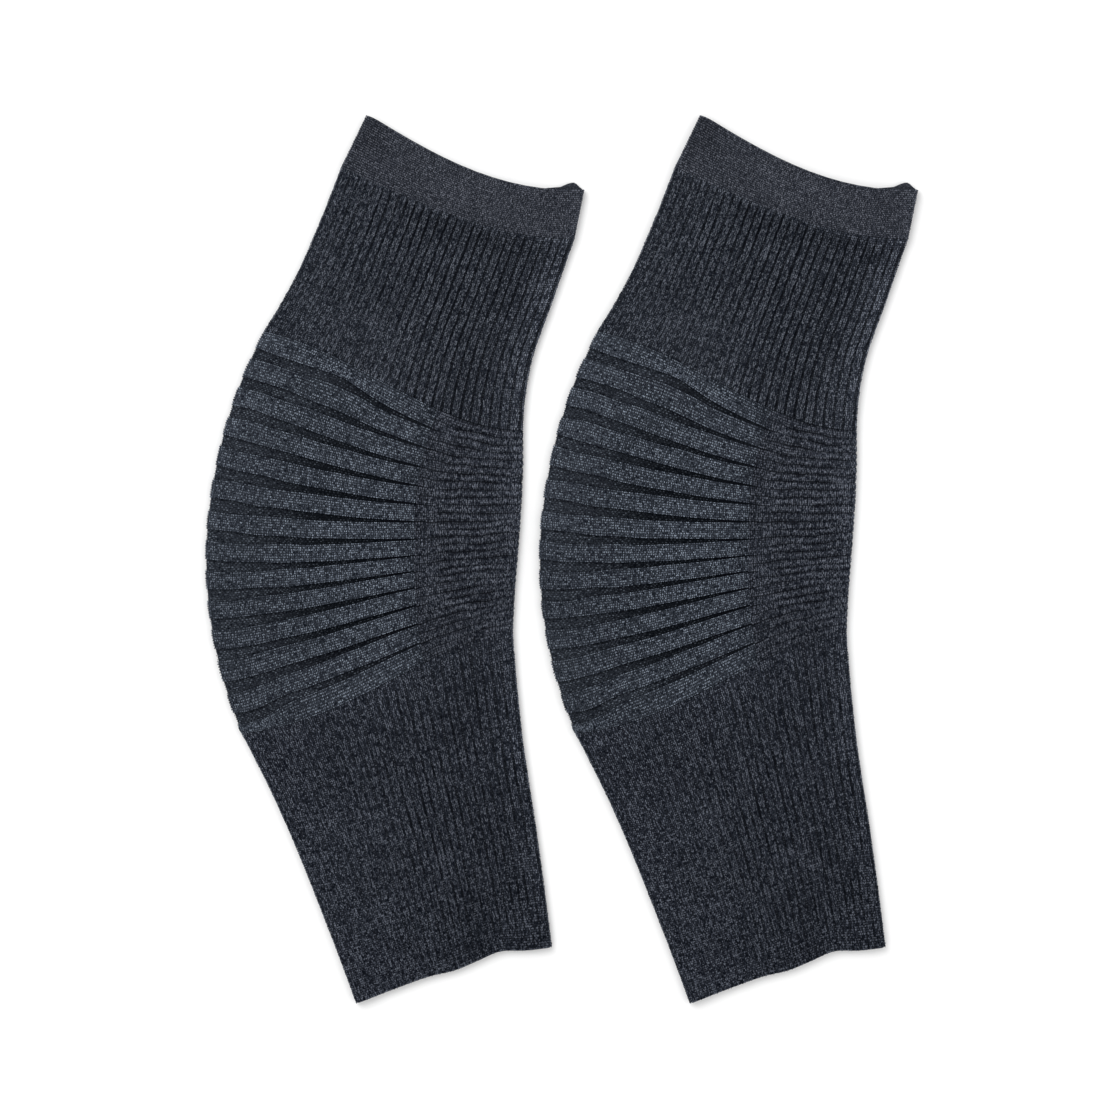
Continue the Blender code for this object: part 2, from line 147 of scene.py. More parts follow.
class ClothForm:
    def __init__(self, zone, wall, rise):
        rows = np.array([courses[name] for name in zones[zone]])
        # one more course past each end, going on as the others do
        ahead = [2 * end[0] - end[1] if len(end) < 3 else 3 * end[0] - 3 * end[1] + end[2]
                 for end in (rows, rows[::-1])]
        self.rows = np.concatenate(([ahead[0]], rows, [ahead[1]]))
        self.spans = len(rows) - 1
        self.down = np.linalg.norm(np.diff(rows[:, 1], axis=0), axis=1).sum()
        self.wall, self.rise = wall, rise
        self.radius = wall + cloth["foldGap"] / 2
        self.quarter = self.radius * math.pi / 2
        # how far along a course lies each share of its width, kept as a fine table
        self.alongs, across, shares = (np.arange(-more, tableSteps + more + 1) / tableSteps
                                       for more in morePast)
        steps = np.linalg.norm(np.diff(self.onTable(self.alongs[:, None], across), axis=1), axis=2)
        reached = np.insert(np.cumsum(steps, axis=1), 0, 0.0, axis=1)
        reached -= reached[:, morePast[1], None]
        self.lengths = reached[:, morePast[1] + tableSteps]
        self.bandEnds = np.array([np.interp(knee["bandEnd"], across, row) for row in reached])
        self.acrosses = np.array([np.interp(shares * length, row, across)
                                  for length, row in zip(self.lengths, reached)])

    def onTable(self, along, across):
        # a smooth surface through the courses: Catmull-Rom down, a cubic across
        along, across = np.broadcast_arrays(along, across)
        span = np.clip(np.floor(along * self.spans), 0, self.spans - 1).astype(int)
        t = (along * self.spans - span)[..., None, None]
        before, start, end, after = (self.rows[span + step] for step in range(4))
        places = 0.5 * (2 * start + (end - before) * t
                        + (2 * before - 5 * start + 4 * end - after) * t ** 2
                        + (3 * start - before - 3 * end + after) * t ** 3)
        knots = (0.0, 1 / 3, 2 / 3, 1.0)
        weights = np.ones(across.shape + (4,))
        for here in range(4):
            for other in range(4):
                if other != here:
                    weights[..., here] *= (across - knots[other]) / (knots[here] - knots[other])
        return (weights[..., None] * places).sum(axis=-2)

    def length(self, along):
        return np.interp(along, self.alongs, self.lengths)

    def clothOver(self, along):
        return self.length(along) - 2 * self.rise - 2 * self.radius + 2 * self.quarter

    def seamOver(self, along):
        return np.interp(along, self.alongs, self.bandEnds) - self.rise - self.radius + self.quarter

    def acrossAt(self, along, share):
        table = self.acrosses
        row = np.clip(along * tableSteps + morePast[0], 0, table.shape[0] - 1.001)
        place = np.clip(share * tableSteps + morePast[2], 0, table.shape[1] - 1.001)
        row0, place0 = row.astype(int), place.astype(int)
        return blend(table, row0, place0, row - row0, place - place0)

    def shareOf(self, along, over):
        # 0 at the front fold's tip and 1 at the back one's, the same on top and underneath
        near = np.minimum(over, self.clothOver(along) - over)
        turn = np.clip(near / self.radius, -math.pi / 2, math.pi / 2)
        distance = self.radius * (1 - np.cos(turn)) + np.maximum(np.abs(near) - self.quarter, 0.0)
        share = distance / (self.length(along) - 2 * self.rise)
        return np.where(over > self.clothOver(along) / 2, 1 - share, share)

    def place(self, along, over, lift, reach=0.0):
        # over is the way over the top from the front fold's tip, and underneath it runs on
        along, over, lift, reach = np.broadcast_arrays(along, over, lift, reach)
        length, clothOver = self.length(along), self.clothOver(along)
        atBack = over > clothOver / 2
        near = np.where(atBack, clothOver - over, over)
        angle = np.clip(near / self.radius, -math.pi / 2, math.pi / 2)
        past = np.maximum(np.abs(near) - self.quarter, 0.0)
        settle = np.where(near > 0, fade(past, 0, cloth["foldReach"]), 0.0)
        height = (self.radius * (1 + np.sin(angle)) - (cloth["foldGap"] - cloth["layerGap"]) * settle
                  + lift * np.sin(angle))
        distance = self.rise + self.radius * (1 - np.cos(angle)) + past - lift * np.cos(angle)
        distance = np.where(atBack, length - distance, distance)
        across = self.acrossAt(along, distance / length)
        flat = self.onTable(along, across)
        if np.any(reach):
            down = unit(self.onTable(along + 0.005, across) - self.onTable(along - 0.005, across))
            flat = flat - reach[..., None] * down
        return np.concatenate((flat, height[..., None]), axis=-1)

    def raised(self, near):
        # relief is whole on top and round to a fold's tip, and dies away below it
        return smoothRise(1 + np.minimum(near / self.radius, 0.0) / math.radians(cloth["reliefTurn"]))

    def overOf(self, wale, along):
        # the wales lie evenly over the top, and underneath they meet half way
        clothOver = self.clothOver(along)
        step = (self.length(along) - 2 * self.rise - 2 * self.radius) / cloth["walesUnder"]
        over = np.clip(wale / lastWale * clothOver, -self.quarter, clothOver + self.quarter)
        return over + step * (np.maximum(wale - lastWale - foldWales, 0)
                              - np.maximum(-foldWales - wale, 0))


# Each piece has a surface, the place of the knitting at a wale and at a course given as a share
# of the way down, a band or a rib, and a tone, how light it is there

cuffKnit = {
    "courses": 25, "insideStep": 3,
    "edge": ((0.0, 1.0), (0.12, 0.62), (0.4, 0.28), (0.8, 0.08), (1.3, 0.0)),  # inset, sink
    "nub": {"rise": 4.0, "fromFold": 6.0, "width": 3.6, "widthInward": 6.5},
    "corner": {"drop": 0.35, "reach": 3.0},   # the top edge is rounded off at the front fold
    "edgeReach": 0.35,          # how far down the nub and the corner reach
    "farLayerShade": 0.45,            # painted shade on the far layer's inside, seen past the nub
    # soft patches of painted light and shade
    "lightAndShade": ((0.4, 0.45, 0.5, 0.36, 0.06), (0.4, 1.0, 0.7, 0.06, 0.22),
              (0.3, 0.86, 0.6, 0.05, -0.12), (0.1, 0.04, 0.5, 0.09, -0.20)),
    "mottle": ((3, 8, 0.08, 31), (7, 3, 0.07, 32)),
    "legSize": (0.27, 0.31, 0.64), "legLean": 27, "seed": 101,
    "flat": (0.243, 0.029), "area": 0.00605,   # widest, longest and area of the cut, all round
}
cuffForm = ClothForm("cuff", cloth["cuffWall"], 0.0)


def cuffSurface(along, wale, lift=0.0, plain=False):
    over = cuffForm.overOf(wale, along)
    nub, corner = cuffKnit["nub"], cuffKnit["corner"]
    # the far layer's top edge shows past the near one's, close to the back fold
    beyond = over - cuffForm.clothOver(along)
    fromFold = np.maximum(beyond - cuffForm.quarter, 0.0) + cuffForm.radius
    turn = np.clip(beyond / cuffForm.quarter, 0.0, 1.0)
    width = np.where(fromFold > nub["fromFold"], nub["widthInward"], nub["width"])
    reach = nub["rise"] * turn * hump(fromFold, nub["fromFold"], width)
    fromTip = np.maximum(np.abs(over) - cuffForm.quarter, 0.0)
    reach = reach - corner["drop"] * np.clip(1 - fromTip / corner["reach"], 0.0, 1.0) ** 2
    return cuffForm.place(along, over, lift, reach * (1 - fade(along, 0, cuffKnit["edgeReach"])))


def cuffTone(along, wale):
    # painted shade: the far layer shows its inside, which lies in shade
    inside = np.where((wale > lastWale + 2) & (along > 0.015), cuffKnit["farLayerShade"], 1.0)
    return inside * lightAndMottle(cuffKnit, along, wale / lastWale, wale)


# The thigh and the shin are ribbed alike

def ribOf(wale):
    return np.floor((wale + cloth["ribWales"] / 2) / cloth["ribWales"])


def between(wale):
    # 0 on the two knit wales of a rib and 1 on the sunk one
    middle = cloth["ribWales"] / 2
    return fade(np.abs((wale + middle) % cloth["ribWales"] - middle), 0.95, 0.5)


def ribGroove(settings, along, wale, share):
    # how deep the grooves are: ragged where they start, and uneven all over
    rib = ribOf(wale)
    early, ragged, length, seed = settings["start"]
    start = fade(along - ragged * hills(rib * 1.7, 0, seed), -early, length)
    uneven = settings["depth"] + sum(amount * hills(along * often, rib * 1.3, seed)
                                     for often, amount, seed in settings["uneven"])
    return np.clip(start * share * uneven, 0.0, 1.0)


def ribSurface(form, settings, grooveAt, crestAt, reachAt):
    def surface(along, wale, lift=0.0, plain=False):
        wander, often, seed = settings["drift"]
        over = form.overOf(wale + wander * hills(along * often, wale / 3, seed), along)
        clothOver = form.clothOver(along)
        crest = crestAt(along, over / clothOver)
        groove = np.minimum(grooveAt(along, wale), crest) * between(wale)
        relief = 0.0 if plain else (form.rise * (crest - groove)
                                    * form.raised(np.minimum(over, clothOver - over)))
        return form.place(along, over, lift + relief, reachAt(along, over))
    return surface


thighKnit = {
    "courses": 86, "insideStep": 12, "rows": 36, "rise": 0.9,
    "drift": (0.16, 14, 44),    # how far the wales wander, in wales, how often, and the seed
    "start": (0.005, 0.02, 0.05, 41),   # of the grooves: how early, how ragged, how long, seed
    "depth": 0.85, "uneven": ((9, 0.35, 42), (26, 0.25, 43)),   # how often down, how much, seed
    # painted shade in the grooves
    "grooveShade": 0.8,
    "startLight": (0.3, 0.012, 0.045, 47),   # ribs start pale: how much, how ragged, how long, seed
    # soft patches of painted light and shade: shade below the cuff, light at the back fold
    "lightAndShade": ((0.05, 0.52, 0.07, 0.38, -0.24), (0.65, 0.22, 0.2, 0.12, -0.08),
              (0.6, 1.0, 0.9, 0.10, 0.60), (0.9, 0.45, 0.2, 0.2, 0.12)),
    "mottle": ((8, 9, 0.07, 45), (20, 4, 0.07, 46)),
    "legSize": (0.27, 0.34, 0.76), "legLean": 18, "seed": 201,
    "flat": (0.274, 0.099), "area": 0.0225,
}
thighForm = ClothForm("thigh", cloth["ribWall"], thighKnit["rise"])


def thighGroove(along, wale):
    # shallow in front, and stretched nearly flat above the knee
    share = wale / lastWale
    stretched = fade(along, 0.4, 0.4) * smoothRise(1.2 - np.abs(share - 0.25) / 0.4)
    return ribGroove(thighKnit, along, wale, (0.45 + 0.55 * fade(share, 0, 0.4)) * (1 - 0.8 * stretched))


def thighCrest(along, share):
    return 1 - 0.3 * fade(along, 0.5, 0.5) * smoothRise(1 - np.abs(share - 0.35) / 0.35)


def thighTone(along, wale):
    share = wale / lastWale
    # painted shade in the grooves, a little less towards the back fold
    groove = thighGroove(along, wale) * between(wale) * (1 - 0.25 * fade(share, 0.6, 0.3))
    pale, ragged, length, seed = thighKnit["startLight"]
    startLight = 1 - fade(along - ragged * hills(ribOf(wale) * 1.9, 0, seed), 0, length)
    return ((1 - thighKnit["grooveShade"] * groove) * (1 + pale * startLight * (1 - between(wale)))
            * lightAndMottle(thighKnit, along, share, wale))


thighSurface = ribSurface(thighForm, thighKnit, thighGroove, thighCrest, lambda along, over: 0.0)

shinKnit = {
    "courses": 130, "insideStep": 8, "rows": 40, "rise": 0.6,
    "edge": ((0.9, 0.0), (0.45, 0.1), (0.15, 0.32), (0.0, 0.7)),
    "waves": ((0.51, -1.2, 0.09), (0.75, 2.2, 0.09)),   # of the hem: share across, rise, width
    "waveReach": 0.2,           # how far up they reach
    "drift": (0.16, 20, 54),
    "start": (0.02, 0.03, 0.08, 51), "depth": 0.56, "uneven": ((12, 0.35, 52), (44, 0.45, 53)),
    # painted shade in the grooves
    "grooveShade": 0.8,
    # soft patches of painted light and shade
    "lightAndShade": ((0.04, 0.5, 0.10, 0.3, 0.14), (0.25, 1.0, 0.5, 0.08, 0.38),
              (1.0, 0.5, 0.3, 0.8, -0.14), (0.9, 0.68, 0.16, 0.08, -0.12),
              (0.5, 0.8, 0.4, 0.15, -0.05)),
    "mottle": ((11, 9, 0.08, 55), (30, 4, 0.08, 56)),
    "legSize": (0.27, 0.31, 0.78), "legLean": 15, "seed": 301,
    "flat": (0.288, 0.159), "area": 0.0347,
}
shinForm = ClothForm("shin", cloth["ribWall"], shinKnit["rise"])


def shinGroove(along, wale):
    # the ribs lie close together on the shin, so the grooves hardly show, in front least of all
    front = (0.25 + 0.75 * fade(wale / lastWale, 0.12, 0.45)) * (0.7 + 0.3 * fade(along, 0, 0.4))
    return ribGroove(shinKnit, along, wale, front * (1 - 0.5 * fade(along, 0.75, 0.25)))


def shinCrest(along, share):
    return 0.6 + 0.2 * fade(along, 0, 0.35) + 0.2 * fade(share, 0, 0.35)


def hemReach(along, over):
    # the hem runs in soft waves, in both layers alike
    share, reach = shinForm.shareOf(along, over), shinKnit["waveReach"]
    return fade(along, 1 - reach, reach) * sum(rise * hump(share, middle, width)
                                               for middle, rise, width in shinKnit["waves"])


def shinTone(along, wale):
    # painted shade in the grooves
    groove = shinGroove(along, wale) * between(wale)
    return (1 - shinKnit["grooveShade"] * groove) * lightAndMottle(shinKnit, along, wale / lastWale, wale)


shinSurface = ribSurface(shinForm, shinKnit, shinGroove, shinCrest, hemReach)

bandKnit = {
    "coursesPerBand": 8, "rise": 1.0, "riseAtEnd": 1.3,
    "wander": 0.003,            # of the bands' edges, as a share of the way down the knee
    "bow": 0.013,               # how far the first gap arches up and the last ones sag
    "fold": 0.034,              # share of the wales in front that lie on the fold
    "round": 0.10,              # how much of a band's width its rounded edge takes
    "crown": 0.07,              # how much higher its middle is
    "foldFill": (0.55, 7.0),    # the gaps are shallow round the front fold: how much, how far in
    "endTone": 0.76,            # the bands turn as dark as the knee's back where they end
    "gapShade": (0.68, 0.24, 0.31),   # painted shade in the gaps, at the front fold, half way and at their ends
    "floorShade": 0.85,          # painted shade on the stitches in the gaps
    # soft patches of painted light and shade
    "lightAndShade": ((18.0, 0.08, 5.0, 0.20, -0.18), (11.0, 0.72, 4.0, 0.16, 0.08),
              (2.0, 0.12, 5.0, 0.2, 0.08), (26.5, 0.04, 2.0, 0.18, -0.22),
              (13.0, 0.4, 6.0, 0.3, 0.08)),
    "mottle": ((1.5, 6, 0.06, 64), (4, 2, 0.05, 65)),
    "legSize": (0.27, 0.33, 0.60), "legLean": 24, "seed": 401,
    "floorSize": (0.24, 0.38, 0.66), "floorRows": 6.6,   # rows in a gap at the front fold
    "flat": (0.206, 0.206), "area": 0.0341,
}
bandForm = ClothForm("knee", cloth["ribWall"], bandKnit["rise"])


def bandPlace(turn, wale):
    # turn counts the bands and the gaps between them, so 2 * band to 2 * band + 1 is a band
    last = 2 * knee["bands"] - 1
    band = np.floor(np.clip(turn, 0, last - 0.001) / 2)
    part = turn - 2 * band
    share = np.where(wale >= 0, (wale / seamWale - bandKnit["fold"]) / (1 - bandKnit["fold"]),
                     (-foldWales - wale) / bandsUnder)
    share = np.clip(share, 0.0, 1.0)
    opening = knee["shut"] + (knee["open"] - knee["shut"]) * (1 - share)
    along = ((band * (1 + opening) + np.minimum(part, 1) + np.maximum(part - 1, 0) * opening)
             / (knee["bands"] + (knee["bands"] - 1) * opening))
    arch = -hump(share, 0.47, 0.17) * hump(turn, 1.4, 1.2)
    sag = (1.6 * fade(turn, 20, 6) * (1 - fade(share, 0, 0.35))
           - 0.5 * fade(turn, 13, 6) * fade(share, 0, 0.3))
    along = along + smoothRise(np.minimum(turn, last - turn)) * (
        bandKnit["bow"] * (arch + sag)
        + bandKnit["wander"] * (1 - 0.85 * share) * hills(turn, wale / 7, 61))
    seamOver = bandForm.seamOver(along)
    over = np.maximum(wale / seamWale * seamOver, -bandForm.quarter)
    over = over - np.maximum(-foldWales - wale, 0) / bandsUnder * (seamOver - bandForm.quarter)
    return along, share, over, part


def bandEnding(turn, wale):
    # 0 on the bands and 1 where they have run into the knee's back, a little ragged
    return 1 - fade(seamWale - wale - 1.6 * hills(turn / 2, 0.5, 62)
                    - 1.0 * hills(turn * 5, wale * 0.3, 63), 1.4, 2.6)


def bandSurface(turn, wale, lift=0.0, plain=False):
    along, share, over, part = bandPlace(turn, wale)
    edge = np.clip(np.minimum(part, 1 - part), 0.0, 0.5)
    shape = ((1 - (1 - np.clip(edge / bandKnit["round"], 0, 1)) ** 2.6)
             * (1 - bandKnit["crown"] * (1 - np.sin(np.pi * edge))))
    # the bands sink to the height of the knee's back over their last few stitches
    height = ((bandKnit["rise"] + (bandKnit["riseAtEnd"] - bandKnit["rise"]) * share)
              * (0.5 + 0.5 * fade(seamWale - wale, 0, 4)))
    fill, inward = bandKnit["foldFill"]
    shape = shape + (1 - shape) * fill * (1 - fade(over, 0, inward))
    relief = 0.0 if plain else height * shape * bandForm.raised(over)
    return bandForm.place(along, over, lift + relief)


def bandTone(turn, wale):
    _, share, _, part = bandPlace(turn, wale)
    # painted shade on the gaps' floors, from the front fold to the bands' ends
    wide, deep, end = bandKnit["gapShade"]
    floor = wide + (deep - wide) * fade(share, 0.05, 0.55) + (end - deep) * fade(share, 0.75, 0.25)
    # the first and the last gaps get more painted shade at the front, and less near their ends, where
    # they are shallow
    outer = hump(turn, 2.5, 3) + hump(turn, 25.5, 1.5)
    floor = floor * (1 + outer * (1.2 * fade(share, 0.1, 0.3) - 0.2))
    # the shade under each band's lower edge is the darkest, and its upper edge has a fainter one
    shade = 1 - 0.55 * hump(part, 1.05, 0.10) - 0.45 * hump(part, 1.97, 0.08)
    # a band's edges blend into the painted shade of the gaps
    edge = fade(np.minimum(part, 1 - part), 0, 0.03)
    top = lightAndMottle(bandKnit, turn, share, wale) - 0.03 + 0.13 * fade(share, 0.15, 0.5)
    top = top * (1 + (bandKnit["endTone"] - 1) * bandEnding(turn, wale))
    return np.where(part <= 1, floor + (top - floor) * edge, floor * shade)


backKnit = {
    "rise": 0.55,
    "drift": 0.22,              # how far the cross ribs wander, in ribs
    "slit": 5.0,                # how many wales the slits between the bands run on
    # painted shade in the grooves and slits
    "grooveShade": 0.62,
    # soft patches of painted light and shade
    "lightAndShade": ((0.3, 0.5, 0.3, 0.35, 0.17), (0.4, 1.0, 0.5, 0.12, 0.35),
              (1.0, 0.4, 0.18, 0.8, -0.20), (0.5, 0.04, 1.0, 0.13, -0.14)),
    "mottle": ((knee["ribs"] / 3, 8, 0.08, 76), (knee["ribs"], 3, 0.08, 77)),
    "legSize": (0.25, 0.36, 0.68), "legLean": 14, "seed": 501,
    "flat": (0.105, 0.128), "area": 0.0109,
}
backForm = ClothForm("knee", cloth["ribWall"], backKnit["rise"])


def backGroove(rib, wale):
    # how deep it is between two cross ribs: slits at first, then uneven grooves
    fromSeam = wale - seamWale
    nearest = np.round(rib)
    fromGroove = np.abs(rib - nearest)
    start = fade(fromSeam - 2.5 * hills(nearest * 1.7, 0.5, 71), 3.5, 5)
    uneven = (0.82 + 0.28 * hills(nearest * 1.3, wale / 5, 72)
              + 0.22 * hills(nearest * 1.3, wale / 2, 73))
    low = (1 - 0.45 * fade(nearest, 21, 6)) * (1 - 0.55 * fade(wale, 74, 9))
    slit = np.where(nearest % 2 == 0, 1 - fade(fromGroove, 0.03, 0.10), 0.0)
    slit = slit * (1 - fade(fromSeam - 1.5 * hills(nearest * 1.7, 0.5, 74), 0, backKnit["slit"]))
    ribbed = (1 - fade(fromGroove, 0.08, 0.30)) * start * uneven * low
    return np.clip(np.maximum(ribbed, slit), 0.0, 1.0)


def backSurface(rib, wale, lift=0.0, plain=False):
    fromSeam = wale - seamWale
    wander = (backKnit["drift"] * hills(rib * 0.8, wale / 4, 75) * fade(fromSeam, 0, 5)
              * smoothRise(np.minimum(rib, knee["ribs"] - rib)))
    along = (rib + wander) / knee["ribs"]
    seamOver, clothOver = backForm.seamOver(along), backForm.clothOver(along)
    over = np.minimum(seamOver + fromSeam / (lastWale - seamWale) * (clothOver - seamOver),
                      clothOver + backForm.quarter)
    over = over + (np.maximum(wale - lastWale - foldWales, 0) / backUnder
                   * (clothOver - seamOver - backForm.quarter))
    relief = 0.0 if plain else (backKnit["rise"] * (1 - backGroove(rib, wale))
                                * backForm.raised(clothOver - over))
    return backForm.place(along, over, lift + relief)


def backTone(rib, wale):
    share = (wale - seamWale) / (lastWale - seamWale)
    # painted shade in the grooves and slits between the cross ribs
    return ((1 - backKnit["grooveShade"] * backGroove(rib, wale))
            * lightAndMottle(backKnit, rib / knee["ribs"], share, wale))


# Shells: the cloth itself, fine outside and coarse inside

class Shell:
    def __init__(self):
        self.points, self.knit, self.tone, self.faces = [], [], [], []
        self.count = 0

    def grid(self, places, wales, runs, tone):
        # a grid of points with its wale and course numbers, which the knit pattern follows
        rows, columns = places.shape[:2]
        first = self.count
        self.count += rows * columns
        self.points.append(places.reshape(-1, 3))
        wales, runs, tone = (np.broadcast_to(value, (rows, columns)) for value in (wales, runs, tone))
        self.knit.append(np.stack((wales, runs), axis=-1).reshape(-1, 2))
        self.tone.append(np.array(tone, float).reshape(-1))
        return first + np.arange(rows * columns).reshape(rows, columns)

    def quads(self, grid, closed=False, inward=False):
        if closed:
            grid = np.concatenate((grid, grid[:, :1]), axis=1)
        corners = (grid[:-1, :-1], grid[1:, :-1], grid[1:, 1:], grid[:-1, 1:])
        if inward:
            corners = corners[::-1]
        self.faces += np.stack(corners, axis=-1).reshape(-1, 4).tolist()

    def rim(self, fine, coarse, picks, closed, flip):
        # closes the edge between a fine line of points and a coarse one that lies below its picks
        fine, coarse = list(fine), list(coarse)
        for here in range(len(coarse) if closed else len(coarse) - 1):
            ahead = (here + 1) % len(coarse)
            stop = picks[ahead] if picks[ahead] > picks[here] else picks[ahead] + len(fine)
            between = [fine[index % len(fine)] for index in range(picks[here], stop + 1)]
            face = [int(index) for index in between + [coarse[ahead], coarse[here]]]
            self.faces.append(face[::-1] if flip else face)

    def mesh(self, name):
        mesh = bpy.data.meshes.new(name)
        mesh.from_pydata((np.concatenate(self.points) * mm).tolist(), [], self.faces)
        corners = np.empty(len(mesh.loops), dtype=np.int32)
        mesh.loops.foreach_get("vertex_index", corners)
        knit = np.concatenate(self.knit)[corners]
        # where the ring of wales closes underneath, the count runs on instead of starting again
        owner = np.repeat(np.arange(len(self.faces)), [len(face) for face in self.faces])
        highest = np.full(len(self.faces), -1000.0)
        np.maximum.at(highest, owner, knit[:, 0])
        around = lastWale + cloth["walesUnder"] + 2 * foldWales
        knit[:, 0] += np.where(highest[owner] - knit[:, 0] > around / 2, around, 0)
        layer = mesh.uv_layers.new(name="knit")
        layer.data.foreach_set("uv", knit.astype(np.float32).ravel())
        tone = mesh.attributes.new("tone", "FLOAT", "POINT")
        tone.data.foreach_set("value", np.concatenate(self.tone).astype(np.float32))
        mesh.shade_smooth()
        mesh.set_sharp_from_angle(angle=math.radians(62))
        return mesh


def topShare(wales):
    # 1 over the top and round the folds, 0 on the flat underside, which carries no raised stitches
    return fade(wales, -2.6, 1.4) * fade(-wales, -lastWale - 2.6, 1.4)


def clothTone(tone, wales):
    # plain underneath, and on top the cloth between raised stitches lies in their shade
    top = topShare(wales)
    return (1 + (tone - 1) * top) * (1 - cloth["shadeBetweenStitches"] * top)


def knitShell(form, surface, toneAt, rows, sinks, columns, picks, courseNumbers, closed):
    # each row is sunk at both faces by its sink, and the inside has only the picked columns
    shell = Shell()
    rows, sinks, columns = np.array(rows)[:, None], np.array(sinks)[:, None], np.array(columns)
    outside = surface(rows, columns[None, :], -cloth["sink"] * topShare(columns)[None, :] - sinks)
    inside = surface(rows, columns[None, picks], sinks - form.wall, plain=True)
    outer = shell.grid(outside, columns, courseNumbers(rows),
                       clothTone(toneAt(rows, columns[None, :]), columns))
    # the inside gets a painted shade
    inner = shell.grid(inside, columns[picks], courseNumbers(rows), cloth["insideShade"])
    shell.quads(outer, closed)
    shell.quads(inner, closed, inward=True)
    shell.rim(outer[0], inner[0], picks, closed, False)
    shell.rim(outer[-1], inner[-1], picks, closed, True)
    if not closed:
        ends = list(range(len(rows)))
        shell.rim(outer[:, 0], inner[:, 0], ends, False, True)
        shell.rim(outer[:, -1], inner[:, -1], ends, False, False)
    return shell


def tubeShell(form, surface, toneAt, settings, rows, wales, moreWales=()):
    # rows are shares of the way down, each with its sink near a free edge
    half = cloth["walesUnder"] / 2
    below = [lastWale + step for step in foldSteps]
    below += [below[-1] + half * step / 6 for step in range(1, 7)]
    front = [-foldWales - half * step / 6 for step in range(5, 0, -1)]
    ring = list(wales) + sorted(below + list(moreWales)) + front + [-step for step in foldSteps[::-1]]
    step = settings["insideStep"]
    picks = [index for index, wale in enumerate(ring)
             if wale in (0, lastWale) or (0 < wale < lastWale and index % step == step // 2)
             or wale <= -foldWales or wale >= lastWale + foldWales]
    return knitShell(form, surface, toneAt, [run for run, sink in rows], [sink for run, sink in rows],
                     ring, picks, lambda runs: runs * settings["courses"], True)


def panelShell(form, surface, toneAt, rows, columns, insideColumns, courseNumbers):
    picks = [index for index, wale in enumerate(columns) if wale in insideColumns]
    return knitShell(form, surface, toneAt, rows, [0.0] * len(rows), columns, picks,
                     courseNumbers, False)


# Stitches: where each leg of yarn lies, which way it runs and how large it is

yarn = {
    "place": 0.10, "lean": 7.0, "size": 0.16, "lift": 0.05, "edge": 0.22,   # how uneven
    "knitRest": -0.12, "purlRest": -0.14,       # how deep the legs lie in the cloth's form
    "purlSize": (0.22, 0.40, 0.52),
    "purlNumbers": 500000,                      # knit stitches are numbered below this
    "lowest": 0.62,                             # none lies lower on the folds
    "thickness": 1.0, "width": 1.0, "length": 1.0,   # makes all stitches larger or smaller
}


def yarnLegs(surface, toneAt, runs, wales, lean, size, rest, runStep, stitches, seed, along=True):
    # legs along the wale lean by lean degrees; the others lie along the course
    runs, wales, stitches = np.broadcast_arrays(runs, wales, stitches)
    runs, wales, count = runs.ravel(), wales.ravel(), runs.size
    dice = np.random.default_rng(seed)
    tone = toneAt(runs, wales)
    runs = runs + runStep * dice.normal(0, yarn["place"] * 1.5, count)
    wales = wales + dice.normal(0, yarn["place"], count)
    lean = lean + dice.normal(0, yarn["lean"], count)
    rest = rest + dice.uniform(-yarn["lift"], yarn["lift"], count)
    centre = surface(runs, wales, rest)
    down = unit(surface(runs + runStep, wales, rest) - surface(runs - runStep, wales, rest))
    acrossWales = unit(surface(runs, wales + 0.1, rest) - surface(runs, wales - 0.1, rest))
    outward = unit(np.cross(down, acrossWales))
    turned = np.radians(lean)[:, None]
    main, side = (-down, acrossWales) if along else (acrossWales, -down)
    direction = unit(main * np.cos(turned) + side * np.sin(turned))
    sizes = np.array(size) * dice.uniform(1 - yarn["size"], 1 + yarn["size"], (count, 3))
    # the outline at the folds is a little rough
    rough = yarn["edge"] * dice.uniform(0, 1, count) * smoothRise(1 - np.abs(outward[:, 2]) / 0.5)
    legs = {"centre": centre + outward * rough[:, None], "direction": direction,
            "outward": outward, "size": sizes, "tone": tone, "stitch": stitches.ravel()}
    kept = (outward[:, 2] > -0.75) & (centre[:, 2] > yarn["lowest"])
    return {key: values[kept] for key, values in legs.items()}


def joinLegs(*parts):
    return {key: np.concatenate([part[key] for part in parts]) for key in parts[0]}


def stitchNumbers(runs, wales, first=0):
    return first + np.arange(runs.size * wales.size).reshape(runs.size, wales.size)


def knitLegs(surface, toneAt, settings, runs, wales, runStep):
    # a V of two legs at each wale and course
    runs, wales = np.array(runs)[:, None], np.array(wales)[None, :]
    return joinLegs(*[yarnLegs(surface, toneAt, runs, wales + side * 0.25, side * settings["legLean"],
                               settings["legSize"], yarn["knitRest"], runStep,
                               stitchNumbers(runs, wales), settings["seed"] + side)
                      for side in (-1, 1)])


def ribLegs(surface, toneAt, settings):
    # knit legs on the ribs, and a bump across each sunk wale at each course
    width, runStep = cloth["ribWales"], 0.3 / settings["courses"]
    runs = [(course + 0.5) / settings["courses"] for course in range(settings["courses"])]
    knit = [width * rib + side for rib in range(-1, 30) for side in (-0.58, 0.58)]
    purl = np.array([width * (rib + 0.5) for rib in range(-1, 29)])[None, :]
    column = np.array(runs)[:, None]
    return joinLegs(
        knitLegs(surface, toneAt, settings, runs, knit, runStep),
        yarnLegs(surface, toneAt, column, purl, 0.0, yarn["purlSize"], yarn["purlRest"], runStep,
                 stitchNumbers(column, purl, yarn["purlNumbers"]), settings["seed"] + 5, along=False))


def newObject(name, data):
    made = bpy.data.objects.new(name, data)
    bpy.context.scene.collection.objects.link(made)
    return made


